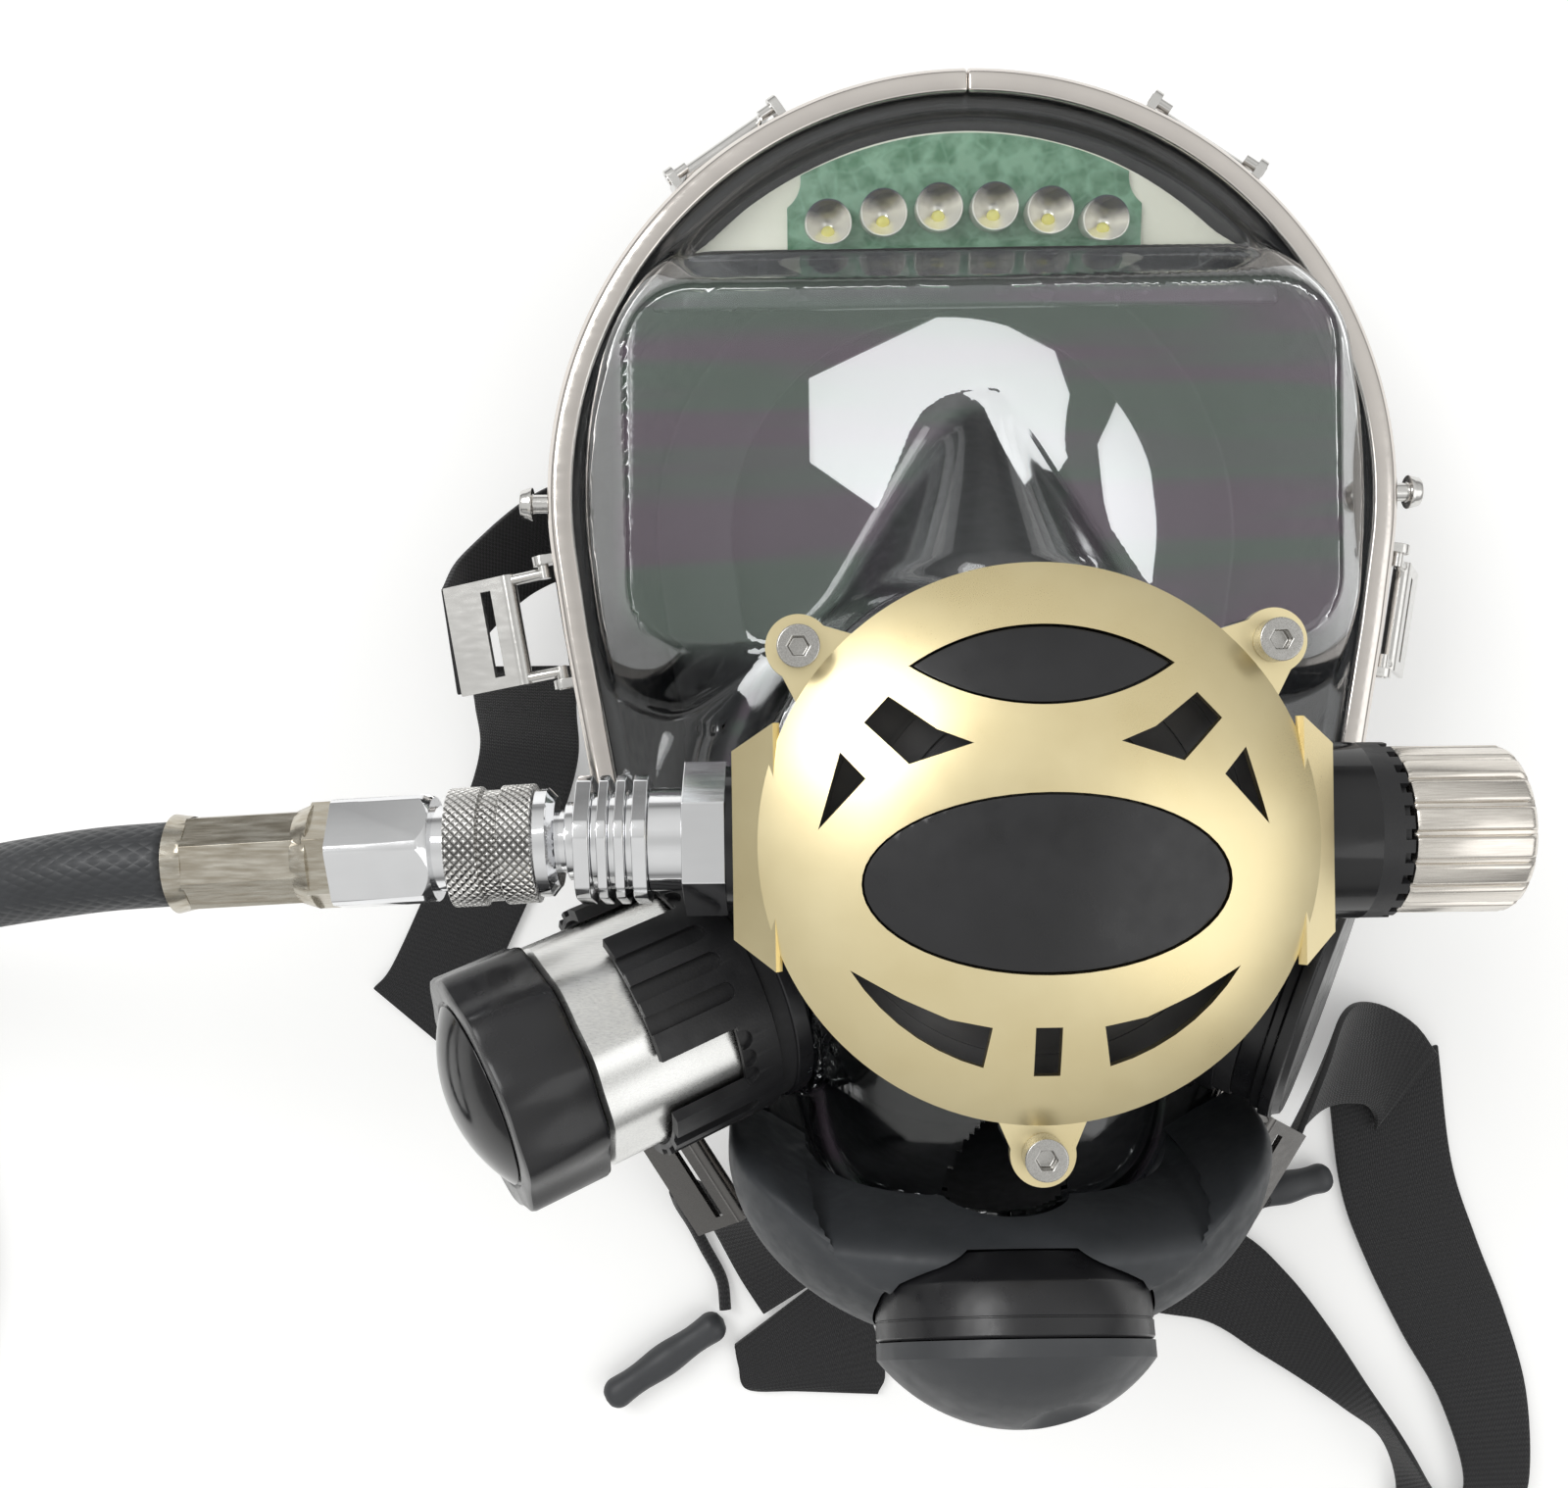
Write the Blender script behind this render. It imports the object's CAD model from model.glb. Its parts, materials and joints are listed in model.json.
"""A full-face diving mask with its demand regulator and supply hose, dressed for the camera.

Lengths are written in millimetres, the same as in the part's own drawing, and turned into metres
where a point is placed.
"""

import json
import math

import bpy
import numpy as np
from mathutils import Matrix, Vector

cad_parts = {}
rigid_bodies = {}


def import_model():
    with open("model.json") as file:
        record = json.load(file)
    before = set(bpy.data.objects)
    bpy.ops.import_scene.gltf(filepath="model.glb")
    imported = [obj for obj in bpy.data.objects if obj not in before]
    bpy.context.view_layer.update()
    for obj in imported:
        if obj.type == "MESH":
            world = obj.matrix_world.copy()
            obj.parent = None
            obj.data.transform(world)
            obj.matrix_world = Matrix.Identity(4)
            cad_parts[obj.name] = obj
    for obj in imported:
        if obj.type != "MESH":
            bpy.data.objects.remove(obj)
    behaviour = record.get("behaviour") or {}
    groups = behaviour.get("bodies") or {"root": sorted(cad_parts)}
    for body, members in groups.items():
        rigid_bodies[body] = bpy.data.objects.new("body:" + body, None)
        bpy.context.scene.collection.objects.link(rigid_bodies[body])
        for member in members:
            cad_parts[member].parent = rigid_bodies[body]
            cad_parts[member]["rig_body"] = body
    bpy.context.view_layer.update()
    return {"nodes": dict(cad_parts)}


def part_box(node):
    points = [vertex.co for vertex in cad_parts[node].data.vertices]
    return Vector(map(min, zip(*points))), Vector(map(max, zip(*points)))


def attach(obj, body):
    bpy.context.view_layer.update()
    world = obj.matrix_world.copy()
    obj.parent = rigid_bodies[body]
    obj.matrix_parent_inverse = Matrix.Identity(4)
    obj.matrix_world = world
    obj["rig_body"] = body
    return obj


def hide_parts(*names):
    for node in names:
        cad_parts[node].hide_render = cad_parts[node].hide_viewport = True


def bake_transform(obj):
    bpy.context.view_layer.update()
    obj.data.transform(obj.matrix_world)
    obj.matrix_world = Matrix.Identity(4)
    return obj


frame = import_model()
MM = 0.001
TURN = 2 * math.pi

# ---- camera ----

CAMERA_AT = Vector((-40.8, 16.6, 400.0)) * MM
CAMERA_ROLL = -0.8
LENS = 36.0


def make_camera():
    data = bpy.data.cameras.new("camera")
    data.lens = LENS
    data.sensor_width = 36.0
    data.clip_start = 0.01
    camera = bpy.data.objects.new("camera", data)
    camera.location = CAMERA_AT
    camera.rotation_euler = (0, 0, math.radians(CAMERA_ROLL))
    bpy.context.scene.collection.objects.link(camera)
    bpy.context.scene.camera = camera


make_camera()

# ---- the part's own sizes, in millimetres ----

VALVE_Z = 122.0
COUPLING_X = -77.1
COUPLING_LEAN = 2.5
HOSE_D = 15.0
FERRULE_END = 71.32
PORT_AT, PORT_LIFT, PORT_TURN = (48.0, -28.0, 90.5), 23.0, 20.8
POD_TILT, POD_SEAM = 22.0, Vector((0, -93.8, 112))
SEAT_Z = 110.0
BROW_Y, BROW_R, BROW_RISE = 69.0, 90.5, 1.0
LIGHT_Y, LIGHT_Z, LIGHT_LEAN = 122.7, 53.5, 12.7
LAMP_PITCH, LAMP_ROW = 11.9, 132.9
BAND_TOP, LIP_T, BAND_WALL, BAND_W = 6.0, 2.0, 1.8, 5.5
LIP_Z = BAND_TOP - LIP_T - 0.3
BEAD_EDGE = BAND_WALL + 0.5
TOE = BAND_W + 0.6
VISOR_T = 3.0
MOUTH_R = 41.0
RIM_Z = 62.0
PANE_W, PANE_H, PANE_Y, PANE_CORNER, PANE_Z = 143.0, 72.5, 72.7, 13.0, 86.0
NOSE_Y, NOSE_RUN = 87.5, 37.5

# ---- mesh helpers ----

def mode(kind):
    bpy.ops.object.mode_set(mode=kind)


def deselect():
    if bpy.context.object and bpy.context.object.mode != "OBJECT":
        mode("OBJECT")
    bpy.ops.object.select_all(action="DESELECT")


def only(piece):
    deselect()
    piece.select_set(True)
    bpy.context.view_layer.objects.active = piece


def started(name, primitive, **settings):
    """A new primitive under this name, the only thing selected."""
    deselect()
    primitive(**settings)
    piece = bpy.context.object
    piece.name = name
    return piece


def edit(piece, *steps):
    """Runs the steps on the whole piece in edit mode."""
    only(piece)
    mode("EDIT")
    bpy.ops.mesh.select_all(action="SELECT")
    for step in steps:
        step()
    mode("OBJECT")


def weld(distance=0.002):
    return lambda: bpy.ops.mesh.remove_doubles(threshold=distance * MM)


def outward():
    bpy.ops.mesh.normals_make_consistent(inside=False)


def flip():
    bpy.ops.mesh.flip_normals()


def modified(piece, kind, **settings):
    """Adds a modifier and applies it."""
    only(piece)
    modifier = piece.modifiers.new(kind.title(), kind)
    for name, value in settings.items():
        setattr(modifier, name, value)
    bpy.ops.object.modifier_apply(modifier=modifier.name)


def smooth(piece, angle=35):
    only(piece)
    bpy.ops.object.shade_smooth_by_angle(angle=math.radians(angle))


def round_edges(piece, width, segments=2, angle=32):
    modified(piece, "BEVEL", width=width * MM, segments=segments, limit_method="ANGLE",
             angle_limit=math.radians(angle))


def formed(name, across, along, place, uv_size=None):
    """A grid of across by along cells, with every corner moved to place(u, v), in millimetres.

    place takes two arrays from 0 to 1 and gives an array of points. The grid's UV map is kept, and
    uv_size stretches it to the surface's own size in millimetres."""
    piece = started(name, bpy.ops.mesh.primitive_grid_add, x_subdivisions=across, y_subdivisions=along, size=2)
    count = len(piece.data.vertices)
    flat = np.empty(count * 3)
    piece.data.vertices.foreach_get("co", flat)
    flat = flat.reshape(-1, 3)
    points = np.asarray(place((flat[:, 0] + 1) / 2, (flat[:, 1] + 1) / 2), float) * MM
    piece.data.vertices.foreach_set("co", points.ravel())
    if uv_size:
        layer = piece.data.uv_layers.active.data
        uv = np.empty(len(layer) * 2)
        layer.foreach_get("uv", uv)
        uv = uv.reshape(-1, 2) * uv_size
        layer.foreach_set("uv", uv.ravel())
    piece.data.update()
    return piece


def unpick(kind):
    """Leaves nothing selected, and selects by this kind of element from here on."""
    bpy.ops.mesh.select_all(action="DESELECT")
    bpy.ops.mesh.select_mode(type=kind)


def close_ends(piece):
    """Fills every open loop of the piece with a face."""
    edit(piece, lambda: unpick("EDGE"), bpy.ops.mesh.select_non_manifold, bpy.ops.mesh.edge_face_add)


def put(piece, finish, slot, *stands_for, body="mask", across=None):
    """Gives the piece its finish and slot, and sets it on its body or across the joint of two bodies."""
    piece.data.materials.clear()
    piece.data.materials.append(finish)
    if across:
        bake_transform(piece)
    else:
        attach(piece, body)
    if stands_for:
        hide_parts(*stands_for)
    return piece


def stand(piece, placing):
    """Moves a piece that was made at the origin to its placing."""
    piece.matrix_world = placing
    only(piece)
    bpy.ops.object.transform_apply()


def spun(name, profile, placing, steps, shade=35):
    """A closed profile of (radius, height) corners spun round Z, then stood at its placing."""
    corners = [Vector((r, 0, z)) * MM for r, z in profile]
    piece = started(name, bpy.ops.mesh.primitive_plane_add, size=MM)
    mode("EDIT")
    bpy.ops.mesh.select_mode(type="VERT")
    bpy.ops.mesh.select_all(action="SELECT")
    bpy.ops.mesh.merge(type="CENTER")
    bpy.ops.transform.translate(value=corners[0])
    starts_and_ends_on_axis = corners[0].x == 0 and corners[-1].x == 0
    rest = corners[1:] if starts_and_ends_on_axis else corners[1:] + corners[:1]
    for start, end in zip(corners, rest):
        bpy.ops.mesh.extrude_region_move(TRANSFORM_OT_translate={"value": end - start})
    bpy.ops.mesh.select_all(action="SELECT")
    bpy.ops.mesh.remove_doubles(threshold=0.001 * MM)
    bpy.ops.mesh.spin(steps=steps, angle=TURN, center=(0, 0, 0), axis=(0, 0, 1))
    mode("OBJECT")
    edit(piece, weld(0.001), outward)
    smooth(piece, shade)
    stand(piece, placing)
    return piece


def fluted(name, profile, swell, placing, around=240):
    """A closed profile of (radius, height, share) round Z, with the radius drawn in by share * swell(turn)."""
    closed = np.array(list(profile) + [profile[0]], float)
    carried = np.array(placing)

    def place(u, v):
        i = np.rint(v * (len(closed) - 1)).astype(int)
        turn = TURN * u
        r = closed[i, 0] - closed[i, 2] * swell(turn)
        points = np.stack([r * np.cos(turn), r * np.sin(turn), closed[i, 1]], axis=1)
        return points @ carried[:3, :3].T + carried[:3, 3] / MM

    piece = formed(name, around, len(closed) - 1, place)
    edit(piece, weld(0.001), outward)
    smooth(piece, 40)
    return piece


def cut_away(piece, tool):
    """Takes the tool's solid out of the piece."""
    modified(piece, "BOOLEAN", operation="DIFFERENCE", solver="EXACT", object=tool)
    bpy.data.objects.remove(tool)


def dressed(node, slot, finish, bevel, segments=2, angle=32, shade=35):
    """A copy of a rigid node with its edges rounded and a finish of its own."""
    source = frame["nodes"][node]
    piece = bpy.data.objects.new(node + "_finished", source.data.copy())
    bpy.context.scene.collection.objects.link(piece)
    piece.data.materials.clear()
    edit(piece, weld(), lambda: bpy.ops.mesh.dissolve_limited(angle_limit=math.radians(0.4)))
    round_edges(piece, bevel, segments, angle)
    smooth(piece, shade)
    modified(piece, "WEIGHTED_NORMAL", keep_sharp=True)
    return put(piece, finish, slot, node, body=source["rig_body"])


# ---- curves ----

def flowing(points, per_step):
    """The points joined by one smooth curve, with per_step points to each stretch."""
    points = np.asarray(points, float)
    padded = np.vstack([2 * points[0] - points[1], points, 2 * points[-1] - points[-2]])
    out = []
    for i in range(1, len(padded) - 2):
        a, b, c, d = padded[i - 1:i + 3]
        for k in range(per_step):
            t = k / per_step
            out.append(0.5 * (2 * b + (c - a) * t + (2 * a - 5 * b + 4 * c - d) * t * t
                              + (3 * b - a - 3 * c + d) * t ** 3))
    out.append(points[-1])
    return np.array(out)


def lengths(line):
    """How far along the line each of its points lies."""
    return np.concatenate([[0], np.cumsum(np.linalg.norm(np.diff(line, axis=0), axis=1))])


def read_off(line, reach, spots):
    """The line's points at these spots, where reach says how far along each of its own points lies."""
    return np.stack([np.interp(spots, reach, line[:, k]) for k in range(3)], axis=1)


def headings(line):
    way = np.gradient(line, axis=0)
    return way / np.linalg.norm(way, axis=1)[:, None]


def tube(name, line, radius, around, steps):
    """A round tube along the line, with its UV map in millimetres."""
    reach = lengths(line)
    centres = read_off(line, reach, np.linspace(0, 1, steps + 1) * reach[-1])
    ways = headings(centres)
    side = np.cross(ways, (0, 0, 1))
    side /= np.linalg.norm(side, axis=1)[:, None]
    up = np.cross(side, ways)

    def place(u, v):
        i = np.rint(v * steps).astype(int)
        a = TURN * u
        return centres[i] + radius * (np.cos(a)[:, None] * side[i] - np.sin(a)[:, None] * up[i])

    piece = formed(name, around, steps, place, (TURN * radius, reach[-1]))
    edit(piece, weld(), outward)
    smooth(piece, 50)
    return piece


# ---- frames of the tilted pieces ----

def at(point, *turns):
    """A placing in metres: the point in millimetres, then turns of (degrees, axis)."""
    place = Matrix.Translation(Vector(point) * MM)
    for degrees, axis in turns:
        place = place @ Matrix.Rotation(math.radians(degrees), 4, axis)
    return place


def shifted(height):
    """A move along a placing's own axis."""
    return Matrix.Translation((0, 0, height * MM))


def port_at(side):
    x, y, z = PORT_AT
    turn = -PORT_TURN if side > 0 else 180 + PORT_TURN
    return at((x * side, y, z), (turn, "Z"), (90 - PORT_LIFT, "Y"))


ON_PORT = {side: port_at(side) for side in (-1, 1)}
ON_POD = at(POD_SEAM, (90 - POD_TILT, "X"))
ON_LIGHT = at((0, LIGHT_Y, LIGHT_Z), (LIGHT_LEAN, "X"))

# ---- materials ----

class Finish:
    """A procedural material, built up node by node."""

    def __init__(self, name, colour, roughness=0.5, metallic=0.0, **sockets):
        self.material = bpy.data.materials.new(name)
        self.material.use_nodes = True
        self.tree = self.material.node_tree
        self.shader = self.tree.nodes["Principled BSDF"]
        self.shader.inputs["Base Color"].default_value = (*colour, 1)
        self.shader.inputs["Roughness"].default_value = roughness
        self.shader.inputs["Metallic"].default_value = metallic
        for key, value in sockets.items():
            self.shader.inputs[key.replace("_", " ")].default_value = value

    def add(self, kind, wires=None, **settings):
        node = self.tree.nodes.new("ShaderNode" + kind)
        for name, value in settings.items():
            setattr(node, name, value)
        for key, value in (wires or {}).items():
            if isinstance(value, bpy.types.NodeSocket):
                self.tree.links.new(value, node.inputs[key])
            else:
                node.inputs[key].default_value = value
        return node

    def coords(self, scale=(1, 1, 1), turn=(0, 0, 0), kind="Object"):
        source = self.add("TexCoord").outputs[kind]
        return self.add("Mapping", {"Vector": source, "Scale": scale,
                                    "Rotation": [math.radians(a) for a in turn]}).outputs[0]

    def noise(self, size, detail=2.0, stretch=(1, 1, 1), kind="Object"):
        """Noise whose lumps are about size millimetres, or size in the UV map's own unit."""
        unit = 1000.0 if kind == "Object" else 1.0
        scale = [unit / size / s for s in stretch]
        return self.add("TexNoise", {"Vector": self.coords(scale, kind=kind), "Scale": 1.0,
                                     "Detail": detail}).outputs[0]

    def maths(self, how, a, b=0.0):
        return self.add("Math", {0: a, 1: b}, operation=how).outputs[0]

    def span(self, value, low, high, start=0.3, end=0.7):
        return self.add("MapRange", {"Value": value, "From Min": start, "From Max": end, "To Min": low,
                                     "To Max": high}).outputs[0]

    def mix(self, factor, a, b):
        """A colour between a and b."""
        node = self.add("Mix", data_type="RGBA")
        factor_in, first, second = node.inputs[0], node.inputs[6], node.inputs[7]
        for socket, value in ((factor_in, factor), (first, a), (second, b)):
            if isinstance(value, bpy.types.NodeSocket):
                self.tree.links.new(value, socket)
            else:
                socket.default_value = value if socket == factor_in else (*value, 1)
        return node.outputs[2]

    def set(self, socket, value):
        self.tree.links.new(value, self.shader.inputs[socket])

    def colour(self, value, low, high):
        """The surface's colour, from low to high as the value goes from 0 to 1."""
        self.set("Base Color", self.mix(value, low, high))

    def gloss(self, value, *spread):
        """The surface's roughness, spread as in span."""
        self.set("Roughness", self.span(value, *spread))

    def millimetres(self):
        """The place on the object, as three values in millimetres."""
        return self.add("SeparateXYZ", {0: self.coords((1000, 1000, 1000))}).outputs

    def on_cloth(self):
        """How far the place lies across the cloth or round the cord, and how far along it, in millimetres."""
        return self.add("SeparateXYZ", {0: self.coords(kind="UV")}).outputs[:2]

    def wave(self, value):
        return self.maths("ABSOLUTE", self.maths("SINE", value))

    def shown_as(self, shader):
        """Puts this shader on the surface in place of the plain one."""
        self.tree.links.new(shader.outputs[0], self.tree.nodes["Material Output"].inputs["Surface"])
        return self.material

    def relief(self, height, depth, strength=1.0):
        """Bump from a height of 0 to 1 that stands for depth millimetres."""
        bump = self.add("Bump", {"Height": height, "Distance": depth * MM, "Strength": strength})
        self.set("Normal", bump.outputs[0])


def plain_variation(name, dark, light, low, high, size):
    """A finish with slow changes of colour and gloss over the surface."""
    f = Finish(name, dark)
    f.colour(f.span(f.noise(size, 4.0), 0, 1), dark, light)
    f.gloss(f.noise(size / 5, 3.0), low, high)
    return f


def clear_plastic(name, tint, veil):
    """Clear moulded plastic, which lets the lamps' light through to what is behind it.

    veil is the share of a faint green and purple haze on the flat pane, like that of stressed plastic."""
    f = Finish(name, tint, 0.03, Transmission_Weight=1.0, IOR=1.49)
    f.gloss(f.noise(9, 3.0), 0.015, 0.05)
    f.relief(f.noise(26, 2.0), 0.12, 0.35)
    bands = f.add("TexNoise", {"Vector": f.coords((7, 110, 7), (0, 0, 8)), "Scale": 1.0, "Detail": 2.0,
                               "Distortion": 0.8}).outputs[0]
    haze = f.add("BsdfDiffuse", {"Color": f.mix(f.span(bands, 0, 1, 0.42, 0.58), (0.46, 0.60, 0.50),
                                                (0.62, 0.48, 0.60))})
    height = f.millimetres()[2]
    on_pane = f.maths("MULTIPLY", f.span(height, 0, veil, 80, 85), f.span(height, 1, 0, 87.2, 89))
    clear = f.add("MixShader", {0: on_pane, 1: f.shader.outputs[0], 2: haze.outputs[0]}).outputs[0]
    shadow = f.add("LightPath").outputs["Is Shadow Ray"]
    through = f.add("BsdfTransparent", {"Color": (*[0.93 * c for c in tint], 1)})
    return f.shown_as(f.add("MixShader", {0: shadow, 1: clear, 2: through.outputs[0]}))


def rubber(name, dark, light, low=0.5, high=0.68, grain=0.35, depth=0.03):
    f = plain_variation(name, dark, light, low, high, 14.0)
    f.relief(f.noise(grain, 3.0), depth, 0.6)
    return f.material


def moulded(name, dark, light, low=0.25, high=0.4, grain=0.6, depth=0.02):
    f = plain_variation(name, dark, light, low, high, 20.0)
    f.relief(f.noise(grain, 4.0), depth, 0.5)
    return f.material


def plated(name, base, low=0.04, high=0.16):
    """Polished plate with faint wipe marks."""
    f = Finish(name, base, 0.1, 1.0)
    f.gloss(f.noise(1.2, 3.0, (9, 1, 1)), low, high)
    f.colour(f.noise(11, 4.0), [0.86 * c for c in base], base)
    f.relief(f.noise(5, 2.0), 0.02, 0.3)
    return f.material


def satin_metal(name, base, shade, low, high, stretch, size=0.25, depth=0.006):
    """Brushed or fine-blasted metal. stretch is how far a brush mark runs each way."""
    f = Finish(name, base, 0.3, 1.0)
    marks = f.noise(size, 4.0, stretch)
    f.colour(f.span(marks, 0, 1, 0.35, 0.65), shade, base)
    f.gloss(f.maths("ADD", marks, f.noise(18, 3.0)), low, high, 0.7, 1.3)
    f.relief(marks, depth, 0.7)
    return f.material


def gold_finish():
    f = Finish("satin pale gold anodising", (0.84, 0.72, 0.44), 0.3, 1.0, Anisotropic=0.35)
    blast = f.noise(0.16, 4.0)
    cloud = f.noise(24, 4.0)
    f.colour(f.span(cloud, 0, 1), (0.77, 0.65, 0.37), (0.87, 0.76, 0.47))
    f.gloss(f.maths("ADD", blast, cloud), 0.27, 0.38, 0.7, 1.3)
    f.relief(blast, 0.006, 0.6)
    return f.material


def webbing_finish():
    """Ribbed polyester webbing, woven in rows across the strap."""
    f = Finish("black woven webbing", (0.012, 0.012, 0.013), 0.75, Sheen_Weight=0.25, Sheen_Roughness=0.4)
    over, run = f.on_cloth()
    rib, rows = 0.9, 1.3
    column = f.maths("SINE", f.maths("MULTIPLY", over, TURN / rib))
    shift = f.maths("MULTIPLY", f.maths("SIGN", column), 0.5)
    row = f.maths("SINE", f.maths("MULTIPLY", f.maths("ADD", run, shift), TURN / rows))
    bulge = f.maths("ADD", f.maths("MULTIPLY", row, 0.35), 0.65)
    weave = f.maths("MULTIPLY", f.maths("ABSOLUTE", column), bulge)
    fuzz = f.noise(0.5, 3.0, kind="UV")
    height = f.maths("ADD", weave, f.maths("MULTIPLY", fuzz, 0.3))
    f.colour(height, (0.006, 0.006, 0.007), (0.03, 0.03, 0.032))
    f.gloss(fuzz, 0.65, 0.9)
    f.relief(height, 0.22, 0.8)
    return f.material


def hose_finish():
    """Black hose rubber with the print of its braid pressed through."""
    f = Finish("braid-marked hose rubber", (0.02, 0.021, 0.024), 0.4)
    over, run = f.on_cloth()
    cords = 12 / (HOSE_D / 2)
    climb = f.maths("MULTIPLY", run, 0.6)
    one, two = (f.wave(f.maths("MULTIPLY", f.maths(how, over, climb), cords)) for how in ("ADD", "SUBTRACT"))
    braid = f.maths("MULTIPLY", one, two)
    f.colour(f.noise(9, 4.0, kind="UV"), (0.020, 0.0215, 0.024), (0.044, 0.047, 0.052))
    f.gloss(f.maths("ADD", braid, f.noise(2, 3.0, kind="UV")), 0.34, 0.55, 0.3, 1.3)
    f.relief(braid, 0.18, 0.5)
    return f.material


def board_finish():
    """Green solder mask over faint copper tracks, clouded by the plastic above it."""
    f = Finish("printed board green", (0.10, 0.27, 0.14), 0.35)
    cells = f.add("TexVoronoi", {"Vector": f.coords((180, 180, 180)), "Scale": 1.0},
                  feature="DISTANCE_TO_EDGE", distance="CHEBYCHEV").outputs[0]
    track = f.span(cells, 1, 0, 0.03, 0.08)
    cloud = f.span(f.noise(4, 3.0), 0, 1, 0.36, 0.64)
    green = f.mix(cloud, (0.045, 0.17, 0.075), (0.19, 0.36, 0.23))
    f.colour(f.maths("MULTIPLY", track, 0.25), green, (0.22, 0.42, 0.28))
    f.gloss(f.noise(2, 3.0), 0.3, 0.45)
    f.relief(track, 0.03, 0.5)
    return f.material


def reflector_finish():
    """A bowl that is dark chrome on its upper side and lit cream on its lower side."""
    f = Finish("lamp reflector", (0.8, 0.78, 0.7), 0.2, 0.55)
    x, y = f.millimetres()[:2]
    column = f.maths("DIVIDE", x, LAMP_PITCH)
    middle = f.maths("SUBTRACT", LAMP_ROW, f.maths("MULTIPLY", f.maths("MULTIPLY", column, column), 0.49))
    above = f.maths("ADD", f.maths("SUBTRACT", y, middle), f.maths("MULTIPLY", f.noise(2.5), 1.5))
    f.colour(f.span(above, 0, 1, -0.4, 2.4), (0.93, 0.89, 0.80), (0.05, 0.05, 0.07))
    f.gloss(f.noise(3, 2.0), 0.12, 0.25)
    return f.material


def knurled_finish():
    """Nickel with a diamond knurl rolled into it, round an axis that lies along X at the valve's height."""
    f = Finish("knurled nickel", (0.72, 0.71, 0.68), 0.25, 1.0)
    x, y, z = f.millimetres()
    round_it = f.maths("MULTIPLY", f.maths("ARCTAN2", y, f.maths("SUBTRACT", z, VALVE_Z)), 20.0)
    along_it = f.maths("MULTIPLY", x, 2.0)
    one, two = (f.wave(f.maths(how, round_it, along_it)) for how in ("ADD", "SUBTRACT"))
    knurl = f.maths("MINIMUM", one, two)
    f.colour(f.span(knurl, 0, 1, 0.05, 0.5), (0.22, 0.21, 0.20), (0.88, 0.87, 0.85))
    f.gloss(f.noise(2, 3.0), 0.2, 0.34)
    f.relief(knurl, 0.5, 1.0)
    return f.material


CLEAR = clear_plastic("clear polycarbonate", (0.94, 0.96, 0.97), 0.07)
BLACK_RUBBER = rubber("black skirt rubber", (0.010, 0.010, 0.011), (0.022, 0.022, 0.024))
TEE_RUBBER = rubber("matte exhaust rubber", (0.032, 0.035, 0.039), (0.048, 0.052, 0.058), 0.5, 0.64, 0.5, 0.02)
GREY_RUBBER = rubber("grey diaphragm rubber", (0.10, 0.10, 0.105), (0.15, 0.15, 0.155), 0.45, 0.6)
PAD_RUBBER = rubber("black head pad rubber", (0.010, 0.010, 0.011), (0.018, 0.018, 0.020), 0.6, 0.75, 2.5, 0.004)
SATIN_BLACK = moulded("satin black plastic", (0.008, 0.008, 0.009), (0.016, 0.016, 0.018))
GRAINED_BLACK = moulded("grained black plastic", (0.009, 0.009, 0.010), (0.018, 0.018, 0.020), 0.38, 0.55, 0.5, 0.06)
GLOSS_BLACK = moulded("glossy black plastic", (0.006, 0.006, 0.007), (0.012, 0.012, 0.013), 0.08, 0.18, 3.0, 0.01)
KNOB_BLACK = moulded("black anodised knob", (0.010, 0.010, 0.011), (0.016, 0.016, 0.018), 0.2, 0.3, 0.4, 0.01)
POD_BLACK = moulded("matte pod plastic", (0.038, 0.040, 0.044), (0.052, 0.055, 0.060), 0.42, 0.55, 0.4, 0.03)
CREAM = moulded("cream light tray plastic", (0.82, 0.80, 0.66), (0.92, 0.90, 0.76), 0.35, 0.5)
GOLD = gold_finish()
CHROME = plated("polished chrome", (0.88, 0.885, 0.90))
STEEL = plated("polished buckle steel", (0.72, 0.71, 0.69), 0.12, 0.26)
BAND_METAL = plated("polished frame metal", (0.75, 0.705, 0.665), 0.08, 0.20)
DARK_STEEL = plated("blackened buckle steel", (0.16, 0.155, 0.15), 0.18, 0.32)
SCREW_STEEL = satin_metal("screw steel", (0.54, 0.53, 0.51), (0.44, 0.43, 0.41), 0.2, 0.32, (1, 1, 1), 0.2, 0.003)
NICKEL = satin_metal("brushed nickel", (0.80, 0.76, 0.70), (0.66, 0.62, 0.57), 0.2, 0.32, (22, 1, 1))
ALLOY = satin_metal("brushed aluminium", (0.80, 0.80, 0.78), (0.66, 0.66, 0.65), 0.24, 0.36, (12, 1, 1), 0.22)
FERRULE = satin_metal("worn crimped steel", (0.56, 0.53, 0.46), (0.40, 0.36, 0.29), 0.16, 0.32, (7, 1, 1), 0.9, 0.02)
BRASS = satin_metal("machined brass", (0.72, 0.55, 0.28), (0.55, 0.40, 0.20), 0.2, 0.32, (1, 8, 8))
WEBBING = webbing_finish()
HOSE = hose_finish()
BOARD = board_finish()
REFLECTOR = reflector_finish()
KNURL = knurled_finish()
LED_YELLOW = moulded("lit yellow lamp chip", (0.74, 0.66, 0.16), (0.80, 0.74, 0.24), 0.3, 0.45)
BAR_BLACK = moulded("smoked light bar", (0.028, 0.028, 0.030), (0.045, 0.045, 0.048), 0.15, 0.3)

# ---- cords ----

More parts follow.
